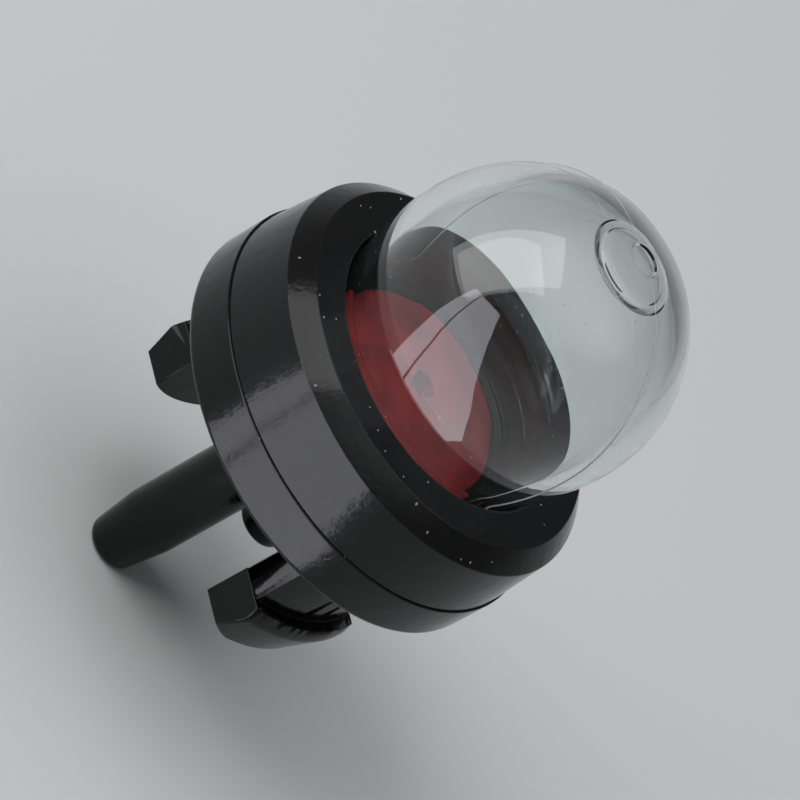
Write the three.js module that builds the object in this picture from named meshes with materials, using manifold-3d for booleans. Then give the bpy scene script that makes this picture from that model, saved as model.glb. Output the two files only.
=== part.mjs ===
// Snap-in fuel primer bulb for a small engine: millimetres, +Z along the bulb's axis.
// The origin is on that axis, in the plane where the collar seats on the outside of the panel.
// The two snap hooks stand on the X axis, and the two hose nipples on the Y axis.
import * as THREE from 'three';
import { mergeVertices } from 'three/addons/utils/BufferGeometryUtils.js';
import Module from 'manifold-3d';

const wasm = await Module();
wasm.setup();

// Facets
const CIRCLE_STEPS = 48;
const SMALL_CIRCLE_STEPS = 24;
const BORE_STEPS = 16;

// Clear bulb
const BULB_RADIUS = 8.14;
const BULB_WALL = 0.95;
const BULB_SIDE_HEIGHT = 4.5;
const NECK_RADIUS = 7.4;
const BULB_FLANGE_WIDTH = 1.95;
const BULB_FLANGE_THICKNESS = 1.3;
const CROWN_PAD_RADIUS = 2.35;
const CROWN_PAD_DEPTH = 0.5;
const GATE_DIMPLE_RADIUS = 1.7;
const GATE_DIMPLE_DEPTH = 0.3;
const GATE_NUB_RADIUS = 0.8;
const GATE_NUB_HEIGHT = 0.22;

// Retaining cap
const CAP_WALL = 0.95;
const CAP_DRAFT = 0.25;
const CAP_LIP_THICKNESS = 1.1;
const CAP_CHAMFER = 1.0;
const CAP_MOUTH_ROUND = 0.15;
const SNAP_BEAD_HEIGHT = 0.3;
const SNAP_BEAD_WIDTH = 0.4;
const SNAP_BEAD_RISE = 0.9;

// Collar, seat and bulb ledge of the base
const COLLAR_HEIGHT = 2.75;
const COLLAR_OVERHANG = 0.15;
const COLLAR_EDGE_ROUND = 0.35;
const COLLAR_BEVEL = 0.12;
const SPIGOT_HEIGHT = 2.15;
const LEDGE_INSET = 0.05;
const LEDGE_STEP = 0.35;

// Valve plate, outlet chamber and the boss around it
const PLATE_RISE = 1.45;
const PLATE_THICKNESS = 1.6;
const CHAMBER_RADIUS = 2.6;
const CHAMBER_DEPTH = 6.2;
const CHAMBER_FLOOR = 1.2;
const BOSS_WALL = 1.1;
const INLET_BOSS_WALL = 0.8;

// Hose nipples
const NIPPLE_RADIUS = 1.775;
const NIPPLE_TIP_RADIUS = 1.45;
const NIPPLE_TAPER_LENGTH = 3.0;
const NIPPLE_TIP_ROUND = 0.35;
const NIPPLE_ROOT_FLARE = 0.4;
const NIPPLE_BORE_RADIUS = 0.65;
const OUTLET_OFFSET = 1.9;
const OUTLET_LENGTH = 14.65;
const INLET_OFFSET = 4.6;
const INLET_LENGTH = 10.05;

// Snap hooks
const PANEL_OVERLAP = 2.75;
const PANEL_THICKNESS = 5.15;
const LEG_THICKNESS = 2.43;
const LEG_HALF_WIDTH = 3.52;
const TOOTH_SIDE_STEP = 0.1;
const HOOK_REACH = 0.75;
const CATCH_EDGE_INSET = 0.2;
const TOOTH_RISE = 0.85;
const LEAD_IN_HEIGHT = 1.95;
const LEAD_IN_SLOPE = 0.55;
const NOSE_HEIGHT = 1.05;
const NOSE_WIDTH = 0.7;
const NOSE_CROWN = 1.1;

// Rubber valve
const VALVE_EDGE_THICKNESS = 0.35;
const VALVE_CROWN = 1.05;
const VALVE_HOLE_RADIUS = 0.75;
const FLAP_RELIEF = 0.3;
const FLAP_RIM_WIDTH = 0.6;
const VALVE_HUB_WIDTH = 0.75;
const BARREL_LENGTH = 2.0;
const BARREL_WALL = 0.85;
const LIP_LENGTH = 3.4;
const LIP_HALF_THICKNESS = 0.5;
const SLIT_HALF_WIDTH = 0.06;

// Running and assembly clearances
const FIT_CLEARANCE = 0.15;
const FLANGE_CLEARANCE = 0.3;
const SEAT_CLEARANCE = 0.3;
const VALVE_RIM_CLEARANCE = 0.3;
const VALVE_NECK_CLEARANCE = 0.55;
const CUT_MARGIN = 1.0;

// Radii that follow from those sizes, from the bulb outwards
const neckInnerRadius = NECK_RADIUS - BULB_WALL;
const valveRadius = neckInnerRadius - VALVE_NECK_CLEARANCE;
const bulbFlangeRadius = NECK_RADIUS + BULB_FLANGE_WIDTH;
const capBoreRadius = bulbFlangeRadius + FLANGE_CLEARANCE;
const capTopRadius = capBoreRadius + CAP_WALL;
const capFootRadius = capTopRadius + CAP_DRAFT;
const collarRadius = capFootRadius + COLLAR_OVERHANG;
const spigotRadius = capBoreRadius - FIT_CLEARANCE;
const panelHoleRadius = collarRadius - PANEL_OVERLAP;
const legOuterRadius = panelHoleRadius - FIT_CLEARANCE;
const legInnerDistance = legOuterRadius - LEG_THICKNESS;
const toothRadius = legOuterRadius + HOOK_REACH;
const seatInnerRadius = toothRadius + SEAT_CLEARANCE;

// Heights that follow from those sizes
const plateTop = COLLAR_HEIGHT + PLATE_RISE;
const plateUnderside = plateTop - PLATE_THICKNESS;
const ledgeTop = COLLAR_HEIGHT + SPIGOT_HEIGHT;
const capLipUnderside = ledgeTop + BULB_FLANGE_THICKNESS;
const capTop = capLipUnderside + CAP_LIP_THICKNESS;
const bulbCentreHeight = capTop + BULB_SIDE_HEIGHT;
const chamberBottom = plateTop - CHAMBER_DEPTH;
const bossBottom = chamberBottom - CHAMBER_FLOOR;

/** Turns a closed geometry into a solid, with its shared corners merged. */
function toSolid(geometry) {
  const bare = geometry.index ? geometry.toNonIndexed() : geometry.clone();
  bare.deleteAttribute('normal');
  bare.deleteAttribute('uv');
  const merged = mergeVertices(bare, 1e-5);
  const corners = merged.index.array;
  const triVerts = [];
  for (let i = 0; i < corners.length; i += 3) {
    const [a, b, c] = [corners[i], corners[i + 1], corners[i + 2]];
    if (a !== b && b !== c && c !== a) {
      triVerts.push(a, b, c);
    }
  }
  return new wasm.Manifold(new wasm.Mesh({
    numProp: 3,
    vertProperties: new Float32Array(merged.attributes.position.array),
    triVerts: new Uint32Array(triVerts),
  }));
}

/** Turns a solid into a named mesh with a flat-shaded geometry. */
function toMesh(name, solid, material) {
  const { vertProperties, triVerts } = solid.getMesh();
  const geometry = new THREE.BufferGeometry();
  geometry.setAttribute('position', new THREE.BufferAttribute(new Float32Array(vertProperties), 3));
  geometry.setIndex(new THREE.BufferAttribute(new Uint32Array(triVerts), 1));
  geometry.computeVertexNormals();
  const mesh = new THREE.Mesh(geometry, material);
  mesh.name = name;
  return mesh;
}

/** Revolves a profile of [radius, height] points, listed anticlockwise, about the Z axis. */
function revolve(profile, steps = CIRCLE_STEPS) {
  const points = profile.map(([radius, height]) => new THREE.Vector2(radius, height));
  const geometry = new THREE.LatheGeometry(points, steps);
  geometry.rotateX(Math.PI / 2);
  return toSolid(geometry);
}

/** Revolves a ring section, which closes on its first point. */
function revolveRing(section, steps = CIRCLE_STEPS) {
  return revolve([...section, section[0]], steps);
}

/** A plain cylinder between two heights. */
function cylinder(radius, bottom, top, steps = CIRCLE_STEPS) {
  return revolve([[0, bottom], [radius, bottom], [radius, top], [0, top]], steps);
}

/** Extrudes an outline in the XY plane between two heights. */
function extrudeUp(shape, bottom, top, curveSegments = SMALL_CIRCLE_STEPS) {
  const depth = top - bottom;
  const geometry = new THREE.ExtrudeGeometry(shape, { depth, bevelEnabled: false, curveSegments });
  geometry.translate(0, 0, bottom);
  return toSolid(geometry);
}

/** Points of an arc in a profile, centre and radius first, angles in degrees, both ends included. */
function arc(centreRadius, centreHeight, size, from, to, steps) {
  const points = [];
  for (let i = 0; i <= steps; i += 1) {
    const angle = THREE.MathUtils.degToRad(from + ((to - from) * i) / steps);
    points.push([centreRadius + size * Math.cos(angle), centreHeight + size * Math.sin(angle)]);
  }
  return points;
}

/** The bulb's bulging side from its neck up to its widest circle, without that circle. */
function bulbSide(neckRadius, wideRadius, steps) {
  const points = [];
  for (let i = 0; i < steps; i += 1) {
    const below = 1 - i / steps;
    const radius = wideRadius - (wideRadius - neckRadius) * below ** 2;
    points.push([radius, bulbCentreHeight - BULB_SIDE_HEIGHT * below]);
  }
  return points;
}

/** Angle, in degrees above the widest circle, at which a dome reaches a given radius. */
function domeAngle(domeRadius, radius) {
  return THREE.MathUtils.radToDeg(Math.acos(radius / domeRadius));
}

/** Clear moulded bulb: flange, bulging side, round dome, and a thicker pad under the sunk gate mark. */
function makeBulb() {
  const innerRadius = BULB_RADIUS - BULB_WALL;
  const dimpleEdgeHeight = bulbCentreHeight + Math.sqrt(BULB_RADIUS ** 2 - GATE_DIMPLE_RADIUS ** 2);
  const dimpleFloor = dimpleEdgeHeight - GATE_DIMPLE_DEPTH;
  const dimpleSlopeRadius = (GATE_DIMPLE_RADIUS + GATE_NUB_RADIUS) / 2;
  const padEdgeAngle = domeAngle(innerRadius, CROWN_PAD_RADIUS);
  const padEdgeHeight = bulbCentreHeight + Math.sqrt(innerRadius ** 2 - CROWN_PAD_RADIUS ** 2);
  const outside = [
    [neckInnerRadius, ledgeTop],
    [bulbFlangeRadius, ledgeTop],
    [bulbFlangeRadius, capLipUnderside],
    [NECK_RADIUS, capLipUnderside],
    ...bulbSide(NECK_RADIUS, BULB_RADIUS, 4),
    ...arc(0, bulbCentreHeight, BULB_RADIUS, 0, domeAngle(BULB_RADIUS, GATE_DIMPLE_RADIUS), 8),
    [dimpleSlopeRadius, dimpleFloor + GATE_DIMPLE_DEPTH / 4],
    [GATE_NUB_RADIUS, dimpleFloor],
    [GATE_NUB_RADIUS, dimpleFloor + GATE_NUB_HEIGHT],
    [0, dimpleFloor + GATE_NUB_HEIGHT],
  ];
  const inside = [
    [0, padEdgeHeight - CROWN_PAD_DEPTH],
    [CROWN_PAD_RADIUS, padEdgeHeight - CROWN_PAD_DEPTH],
    ...arc(0, bulbCentreHeight, innerRadius, padEdgeAngle, 0, 7),
    ...bulbSide(neckInnerRadius, innerRadius, 4).reverse(),
  ];
  return revolve([...outside, ...inside, outside[0]]);
}

/** Cap ring: drafted wall on the collar, lip over the bulb's flange, bead that snaps on the spigot. */
function makeRetainingCap() {
  const mouthRadius = NECK_RADIUS + FIT_CLEARANCE;
  const beadCentre = COLLAR_HEIGHT + SNAP_BEAD_RISE;
  return revolveRing([
    [capBoreRadius, COLLAR_HEIGHT],
    [capFootRadius, COLLAR_HEIGHT],
    [capTopRadius, capTop - CAP_CHAMFER],
    [capTopRadius - CAP_CHAMFER, capTop],
    [mouthRadius + CAP_MOUTH_ROUND, capTop],
    [mouthRadius, capTop - CAP_MOUTH_ROUND],
    [mouthRadius, capLipUnderside],
    [capBoreRadius, capLipUnderside],
    [capBoreRadius, beadCentre + SNAP_BEAD_WIDTH],
    [capBoreRadius - SNAP_BEAD_HEIGHT, beadCentre + SNAP_BEAD_WIDTH / 4],
    [capBoreRadius - SNAP_BEAD_HEIGHT, beadCentre - SNAP_BEAD_WIDTH / 4],
    [capBoreRadius, beadCentre - SNAP_BEAD_WIDTH],
  ]);
}

/** Round body of the base: collar, snap groove, bulb ledge and valve plate, hollow underneath. */
function makeBaseBody() {
  const ledgeInnerRadius = neckInnerRadius + LEDGE_INSET;
  const moatRadius = valveRadius + VALVE_RIM_CLEARANCE;
  const grooveCentre = COLLAR_HEIGHT + SNAP_BEAD_RISE;
  const grooveHalfWidth = SNAP_BEAD_WIDTH + FIT_CLEARANCE;
  return revolve([
    [0, plateUnderside],
    [seatInnerRadius, plateUnderside],
    [seatInnerRadius, 0],
    ...arc(collarRadius - COLLAR_EDGE_ROUND, COLLAR_EDGE_ROUND, COLLAR_EDGE_ROUND, -90, 0, 3),
    [collarRadius, COLLAR_HEIGHT - COLLAR_BEVEL],
    [collarRadius - COLLAR_BEVEL, COLLAR_HEIGHT],
    [spigotRadius, COLLAR_HEIGHT],
    [spigotRadius, grooveCentre - grooveHalfWidth],
    [spigotRadius - SNAP_BEAD_HEIGHT, grooveCentre - grooveHalfWidth / 2],
    [spigotRadius - SNAP_BEAD_HEIGHT, grooveCentre + grooveHalfWidth / 2],
    [spigotRadius, grooveCentre + grooveHalfWidth],
    [spigotRadius, ledgeTop],
    [ledgeInnerRadius, ledgeTop],
    [ledgeInnerRadius, ledgeTop - LEDGE_STEP],
    [moatRadius, ledgeTop - LEDGE_STEP],
    [moatRadius, plateTop],
    [0, plateTop],
  ]);
}

/** Outline around two circles on the Y axis, the second one further along +Y. */
function oblongShape(firstY, firstRadius, secondY, secondRadius) {
  const tilt = Math.asin((firstRadius - secondRadius) / (secondY - firstY));
  const shape = new THREE.Shape();
  shape.absarc(0, firstY, firstRadius, Math.PI - tilt, 2 * Math.PI + tilt, false);
  shape.absarc(0, secondY, secondRadius, tilt, Math.PI - tilt, false);
  shape.closePath();
  return shape;
}

/** Boss under the valve plate that holds the outlet chamber and the root of the inlet. */
function makeBoss() {
  const wideRadius = CHAMBER_RADIUS + BOSS_WALL;
  const outline = oblongShape(0, wideRadius, INLET_OFFSET, NIPPLE_RADIUS + INLET_BOSS_WALL);
  return extrudeUp(outline, bossBottom, plateTop - PLATE_THICKNESS / 2, BORE_STEPS);
}

/** Plain hose nipple below the boss, tapered and rounded at its tip. */
function makeNipple(offsetY, length) {
  return revolve([
    [0, -length],
    ...arc(NIPPLE_TIP_RADIUS - NIPPLE_TIP_ROUND, NIPPLE_TIP_ROUND - length, NIPPLE_TIP_ROUND, -90, 0, 3),
    [NIPPLE_RADIUS, NIPPLE_TAPER_LENGTH - length],
    [NIPPLE_RADIUS, bossBottom - NIPPLE_ROOT_FLARE],
    [NIPPLE_RADIUS + NIPPLE_ROOT_FLARE, bossBottom],
    [NIPPLE_RADIUS + NIPPLE_ROOT_FLARE, bossBottom + CHAMBER_FLOOR / 2],
    [0, bossBottom + CHAMBER_FLOOR / 2],
  ], SMALL_CIRCLE_STEPS).translate([0, offsetY, 0]);
}

/** Drilling from a nipple's tip up to a given height. */
function makeBore(offsetY, length, top) {
  return cylinder(NIPPLE_BORE_RADIUS, -length - CUT_MARGIN, top, BORE_STEPS).translate([0, offsetY, 0]);
}

/** Block on one side of the axis, from the flat inner face outwards, with a crowned lower end. */
function makeTongue(direction, halfWidth, bottom, top) {
  const cornerHeight = bottom + NOSE_CROWN;
  const crownRadius = (halfWidth ** 2 + NOSE_CROWN ** 2) / (2 * NOSE_CROWN);
  const halfSpread = Math.asin(halfWidth / crownRadius);
  const down = -Math.PI / 2;
  const shape = new THREE.Shape();
  shape.moveTo(-halfWidth, top);
  shape.lineTo(-halfWidth, cornerHeight);
  shape.absarc(0, bottom + crownRadius, crownRadius, down - halfSpread, down + halfSpread, false);
  shape.lineTo(halfWidth, top);
  shape.closePath();
  const depth = collarRadius;
  const geometry = new THREE.ExtrudeGeometry(shape, { depth, bevelEnabled: false, curveSegments: 8 });
  geometry.rotateX(Math.PI / 2);
  geometry.rotateZ(direction * Math.PI / 2);
  geometry.translate(direction * legInnerDistance, 0, 0);
  return toSolid(geometry);
}

/** Snap hook on one side: flat-backed leg, catch face, tooth, lead-in and rounded nose. */
function makeHook(direction) {
  const legTop = plateUnderside + PLATE_THICKNESS / 2;
  const catchHeight = -PANEL_THICKNESS;
  const toothHeight = catchHeight - TOOTH_RISE;
  const leadInBottom = toothHeight - LEAD_IN_HEIGHT;
  const leadInRadius = toothRadius - LEAD_IN_SLOPE;
  const noseBottom = leadInBottom - NOSE_HEIGHT;
  const section = revolve([
    [0, noseBottom],
    [leadInRadius - NOSE_WIDTH, noseBottom],
    [leadInRadius - NOSE_WIDTH / 4, noseBottom + NOSE_HEIGHT / 3],
    [leadInRadius, leadInBottom],
    [toothRadius, toothHeight],
    [toothRadius - CATCH_EDGE_INSET, catchHeight],
    [legOuterRadius, catchHeight],
    [legOuterRadius, legTop],
    [0, legTop],
  ]);
  const toothHalfWidth = LEG_HALF_WIDTH + TOOTH_SIDE_STEP;
  const leg = section.intersect(makeTongue(direction, LEG_HALF_WIDTH, noseBottom, legTop + CUT_MARGIN));
  const tooth = section.intersect(makeTongue(direction, toothHalfWidth, noseBottom, catchHeight));
  return leg.add(tooth);
}

/** Base moulding: collar, ledge, valve plate, boss, two nipples and two snap hooks in one piece. */
function makeBaseHousing() {
  const chamber = cylinder(CHAMBER_RADIUS, chamberBottom, plateTop + CUT_MARGIN);
  const outletBore = makeBore(-OUTLET_OFFSET, OUTLET_LENGTH, chamberBottom + CUT_MARGIN);
  const inletBore = makeBore(INLET_OFFSET, INLET_LENGTH, plateTop + CUT_MARGIN);
  return makeBaseBody()
    .add(makeBoss())
    .add(makeNipple(-OUTLET_OFFSET, OUTLET_LENGTH))
    .add(makeNipple(INLET_OFFSET, INLET_LENGTH))
    .add(makeHook(1))
    .add(makeHook(-1))
    .subtract(chamber)
    .subtract(outletBore)
    .subtract(inletBore);
}

/** Prism along Y that narrows from the barrel down to the lips, with a half width for each end. */
function makeLipPrism(topHalfWidth, bottomHalfWidth, lipTop, lipBottom, top) {
  const shape = new THREE.Shape();
  shape.moveTo(-bottomHalfWidth, lipBottom);
  shape.lineTo(bottomHalfWidth, lipBottom);
  shape.lineTo(topHalfWidth, lipTop);
  shape.lineTo(topHalfWidth, top);
  shape.lineTo(-topHalfWidth, top);
  shape.lineTo(-topHalfWidth, lipTop);
  shape.closePath();
  const length = 4 * CHAMBER_RADIUS;
  const geometry = new THREE.ExtrudeGeometry(shape, { depth: length, bevelEnabled: false });
  geometry.translate(0, 0, -length / 2);
  geometry.rotateX(Math.PI / 2);
  return toSolid(geometry);
}

/** Umbrella disc of the valve: crowned top, hub and rim that seat on the plate, relief between them. */
function makeValveDisc() {
  const hubRadius = CHAMBER_RADIUS + VALVE_HUB_WIDTH;
  const rimInnerRadius = valveRadius - FLAP_RIM_WIDTH;
  const edgeTop = plateTop + VALVE_EDGE_THICKNESS;
  const crown = [];
  const steps = 6;
  for (let i = 0; i <= steps; i += 1) {
    const share = 1 - i / steps;
    crown.push([valveRadius * share, edgeTop + VALVE_CROWN * (1 - share ** 2)]);
  }
  return revolve([
    [0, plateTop],
    [hubRadius, plateTop],
    [hubRadius + FLAP_RELIEF, plateTop + FLAP_RELIEF],
    [rimInnerRadius - FLAP_RELIEF, plateTop + FLAP_RELIEF],
    [rimInnerRadius, plateTop],
    [valveRadius, plateTop],
    ...crown,
  ]);
}

/** Rubber combination valve: umbrella disc over the inlet, barrel and duckbill lips down the chamber. */
function makeValve() {
  const barrelRadius = CHAMBER_RADIUS - FIT_CLEARANCE;
  const hollowRadius = barrelRadius - BARREL_WALL;
  const lipTop = plateTop - BARREL_LENGTH;
  const lipBottom = lipTop - LIP_LENGTH;
  const hollowTop = plateTop - VALVE_EDGE_THICKNESS;
  const barrel = cylinder(barrelRadius, lipBottom, plateTop + VALVE_EDGE_THICKNESS, SMALL_CIRCLE_STEPS)
    .intersect(makeLipPrism(barrelRadius, LIP_HALF_THICKNESS, lipTop, lipBottom, plateTop + CUT_MARGIN));
  const hollow = cylinder(hollowRadius, lipBottom - CUT_MARGIN, hollowTop, SMALL_CIRCLE_STEPS)
    .intersect(makeLipPrism(hollowRadius, SLIT_HALF_WIDTH, lipTop, lipBottom, hollowTop + CUT_MARGIN));
  const slit = cylinder(hollowRadius, lipBottom - CUT_MARGIN, lipBottom + CUT_MARGIN, SMALL_CIRCLE_STEPS)
    .intersect(makeLipPrism(SLIT_HALF_WIDTH, SLIT_HALF_WIDTH, lipBottom, lipBottom - CUT_MARGIN, lipTop));
  const hole = cylinder(VALVE_HOLE_RADIUS, lipTop, plateTop + 2 * VALVE_CROWN + CUT_MARGIN, BORE_STEPS);
  return makeValveDisc().add(barrel).subtract(hollow).subtract(slit).subtract(hole);
}

/** Materials, with the colours and finish that the photograph shows. */
const materials = {
  base: new THREE.MeshStandardMaterial({ color: 0x17181a, roughness: 0.38, metalness: 0 }),
  cap: new THREE.MeshStandardMaterial({ color: 0x1a1b1c, roughness: 0.42, metalness: 0 }),
  clear: new THREE.MeshStandardMaterial({
    color: 0xdfe6e4, roughness: 0.12, metalness: 0, transparent: true, opacity: 0.35,
  }),
  rubber: new THREE.MeshStandardMaterial({ color: 0x8e2a2b, roughness: 0.5, metalness: 0 }),
};

const primerBulb = new THREE.Group();
primerBulb.name = 'primer_bulb';
primerBulb.add(
  toMesh('base_housing', makeBaseHousing(), materials.base),
  toMesh('duckbill_valve', makeValve(), materials.rubber),
  toMesh('bulb', makeBulb(), materials.clear),
  toMesh('retaining_cap', makeRetainingCap(), materials.cap),
);

export default primerBulb;
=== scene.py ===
"""Snap-in fuel primer bulb, dressed for a studio render in its own frame.

The bulb's axis is +Z and the plane of the collar's underside is z = 0. Sizes are written in
millimetres and turned to metres when a mesh is made. Outer sizes come from the frame.
"""

from __future__ import annotations

import logging
import math
from dataclasses import dataclass, field
from enum import Enum
from typing import Iterable, Sequence

import bmesh
import bpy
from mathutils import Matrix, Vector

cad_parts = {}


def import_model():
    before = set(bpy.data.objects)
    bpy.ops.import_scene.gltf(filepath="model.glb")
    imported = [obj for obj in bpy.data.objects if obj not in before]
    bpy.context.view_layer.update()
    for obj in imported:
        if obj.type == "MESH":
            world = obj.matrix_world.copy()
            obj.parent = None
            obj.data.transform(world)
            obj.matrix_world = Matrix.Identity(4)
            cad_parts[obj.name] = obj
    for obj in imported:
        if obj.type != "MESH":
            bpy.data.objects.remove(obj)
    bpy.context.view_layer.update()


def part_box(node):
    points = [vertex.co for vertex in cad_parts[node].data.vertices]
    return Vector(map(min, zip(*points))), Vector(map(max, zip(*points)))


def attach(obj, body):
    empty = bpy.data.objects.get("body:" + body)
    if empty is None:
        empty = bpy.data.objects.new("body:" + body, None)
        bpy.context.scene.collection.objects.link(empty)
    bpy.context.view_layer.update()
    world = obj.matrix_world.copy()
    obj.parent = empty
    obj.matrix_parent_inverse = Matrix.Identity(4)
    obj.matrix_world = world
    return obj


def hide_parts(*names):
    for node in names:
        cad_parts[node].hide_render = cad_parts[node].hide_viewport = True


LOG = logging.getLogger("primer_bulb")
MM = 0.001
BODY = "root"


class Facets(Enum):
    """Steps round the axis for a mesh of a given importance."""

    MAIN = 192
    SMALL = 96


@dataclass(frozen=True)
class Corner:
    """A corner of a section, in millimetres, with the radius that rounds it off."""

    radius: float
    height: float
    rounding: float = 0.0

    @property
    def point(self) -> Vector:
        """The corner as a vector."""
        return Vector((self.radius, self.height))


def soften(corners: Sequence[Corner], arc_steps: int = 4) -> list[tuple[float, float]]:
    """Rounds the corners of a closed section.

    Args:
        corners: the section's corners in order.
        arc_steps: steps along each rounded corner.

    Returns:
        Points of the section, as (radius, height) in millimetres.
    """
    points: list[tuple[float, float]] = []
    for index, corner in enumerate(corners):
        here = corner.point
        before = corners[index - 1].point - here
        after = corners[(index + 1) % len(corners)].point - here
        if corner.rounding <= 0 or before.length == 0 or after.length == 0:
            points.append((here.x, here.y))
            continue
        half_angle = before.angle(after) / 2
        reach = corner.rounding / math.tan(half_angle)
        reach = min(reach, 0.49 * before.length, 0.49 * after.length)
        start = here + before.normalized() * reach
        end = here + after.normalized() * reach
        for step in range(arc_steps + 1):
            t = step / arc_steps
            bent = start * (1 - t) ** 2 + here * (2 * t * (1 - t)) + end * t**2
            points.append((bent.x, bent.y))
    return points


def arc(centre: tuple[float, float], radius: float, start: float, end: float, steps: int) -> list[Corner]:
    """Corners along an arc of a section, both ends included.

    Args:
        centre: the arc's centre, as (radius, height) in millimetres.
        radius: the arc's radius in millimetres.
        start: first angle in degrees.
        end: last angle in degrees.
        steps: steps along the arc.

    Returns:
        The corners, with no rounding.
    """
    corners = []
    for step in range(steps + 1):
        angle = math.radians(start + (end - start) * step / steps)
        corners.append(Corner(centre[0] + radius * math.cos(angle), centre[1] + radius * math.sin(angle)))
    return corners


def even_angles(steps: int) -> list[float]:
    """Angles spread evenly round the axis, in radians."""
    return [math.tau * step / steps for step in range(steps)]


@dataclass(frozen=True)
class Ridge:
    """A fine raised line along two opposite meridians of a revolved skin, in millimetres.

    It stands on the first points of the section, as many as it says.
    """

    height: float
    half_width: float
    skin_radius: float
    points: int

    @property
    def flank(self) -> float:
        """Half the ridge's width as an angle, in radians."""
        return self.half_width / self.skin_radius

    def angles(self, steps: int) -> list[float]:
        """Angles round the axis with extra ones on the ridge's flanks and crest."""
        wanted = even_angles(steps)
        for side in (0.0, math.pi):
            wanted += [side - 2 * self.flank, side - self.flank, side + self.flank, side + 2 * self.flank]
        return sorted(angle % math.tau for angle in wanted)

    def lift(self, angle: float) -> float:
        """Height of the ridge at an angle, in millimetres."""
        away = abs(math.remainder(angle, math.pi))
        return self.height if away < self.flank / 2 else 0.0

    def mark(self, faces: list[bmesh.types.BMFace], angles: list[float]) -> None:
        """Gives the ridge's own faces of one band the mesh's second material.

        Args:
            faces: the band's faces in the order of the angles.
            angles: angles round the axis.
        """
        for face, start, end in zip(faces, angles, angles[1:] + angles[:1]):
            middle = start + (end - start) % math.tau / 2
            if abs(math.remainder(middle, math.pi)) < self.flank:
                face.material_index = 1


def revolve(
    name: str,
    section: Sequence[tuple[float, float]],
    steps: Facets,
    centre: tuple[float, float] = (0.0, 0.0),
    ridge: Ridge | None = None,
) -> bpy.types.Object:
    """Turns a closed section about a vertical axis into a mesh object.

    Args:
        name: the object's name.
        section: points as (radius, height) in millimetres, anticlockwise.
        steps: facets round the axis.
        centre: where the axis stands, as (x, y) in millimetres.
        ridge: a raised line along the outside, if there is one.

    Returns:
        The new object, with smooth shading.
    """
    angles = ridge.angles(steps.value) if ridge else even_angles(steps.value)
    mesh = bmesh.new()
    rings: list[list[bmesh.types.BMVert]] = []
    for place, (radius, height) in enumerate(section):
        if radius < 1e-6:
            rings.append([mesh.verts.new((centre[0] * MM, centre[1] * MM, height * MM))])
            continue
        ring = []
        for angle in angles:
            raised = ridge is not None and place < ridge.points
            outward = radius + (ridge.lift(angle) if raised else 0.0)
            x = (centre[0] + outward * math.cos(angle)) * MM
            y = (centre[1] + outward * math.sin(angle)) * MM
            ring.append(mesh.verts.new((x, y, height * MM)))
        rings.append(ring)
    for index, ring in enumerate(rings):
        faces = skin_between(mesh, ring, rings[(index + 1) % len(rings)], len(angles))
        if ridge and index < ridge.points - 1:
            ridge.mark(faces, angles)
    return object_from(name, mesh)


def skin_between(
    mesh: bmesh.types.BMesh, low: list[bmesh.types.BMVert], high: list[bmesh.types.BMVert], count: int
) -> list[bmesh.types.BMFace]:
    """Adds the faces between two rings, either of which may be a single point on the axis.

    Args:
        mesh: the bmesh that they belong to.
        low: the first ring's vertices.
        high: the second ring's vertices.
        count: steps round the axis.

    Returns:
        The new faces, in the order of the steps.
    """
    if len(low) == 1 and len(high) == 1:
        return []
    faces = []
    for step in range(count):
        after = (step + 1) % count
        if len(low) == 1:
            faces.append(mesh.faces.new((low[0], high[after], high[step])))
        elif len(high) == 1:
            faces.append(mesh.faces.new((low[step], low[after], high[0])))
        else:
            faces.append(mesh.faces.new((low[step], low[after], high[after], high[step])))
    return faces


def object_from(name: str, mesh: bmesh.types.BMesh) -> bpy.types.Object:
    """Puts a finished bmesh into a new smooth-shaded object of the scene.

    Args:
        name: the object's name.
        mesh: the bmesh, which is freed.

    Returns:
        The new object.
    """
    bmesh.ops.recalc_face_normals(mesh, faces=mesh.faces)
    data = bpy.data.meshes.new(name)
    mesh.to_mesh(data)
    mesh.free()
    data.polygons.foreach_set("use_smooth", [True] * len(data.polygons))
    obj = bpy.data.objects.new(name, data)
    bpy.context.scene.collection.objects.link(obj)
    return obj


def extrude(
    name: str, outline: Sequence[tuple[float, float]], axes: Matrix, depth: float
) -> bpy.types.Object:
    """Extrudes a flat outline.

    Args:
        name: the object's name.
        outline: points in millimetres, in the plane of the first two axes.
        axes: matrix whose columns are the outline's two axes, the depth's axis and the place.
        depth: how far it is extruded, in millimetres.

    Returns:
        The new object.
    """
    mesh = bmesh.new()
    near = [mesh.verts.new((axes @ Vector((x, y, 0))) * MM) for x, y in outline]
    far = [mesh.verts.new((axes @ Vector((x, y, depth))) * MM) for x, y in outline]
    mesh.faces.new(near)
    mesh.faces.new(list(reversed(far)))
    for index in range(len(outline)):
        after = (index + 1) % len(outline)
        mesh.faces.new((near[index], far[index], far[after], near[after]))
    return object_from(name, mesh)


def apply_modifiers(obj: bpy.types.Object) -> None:
    """Makes the object's mesh what its modifiers show, and removes them."""
    graph = bpy.context.evaluated_depsgraph_get()
    shown = bpy.data.meshes.new_from_object(obj.evaluated_get(graph))
    obj.modifiers.clear()
    obj.data = shown


def cut(obj: bpy.types.Object, tool: bpy.types.Object, operation: str) -> None:
    """Joins or cuts an object with another, which is then removed.

    Args:
        obj: the object that stays.
        tool: the object that is used up.
        operation: UNION, DIFFERENCE or INTERSECT.
    """
    modifier = obj.modifiers.new("boolean", "BOOLEAN")
    modifier.object = tool
    modifier.operation = operation
    modifier.solver = "EXACT"
    apply_modifiers(obj)
    bpy.data.objects.remove(tool)


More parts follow.
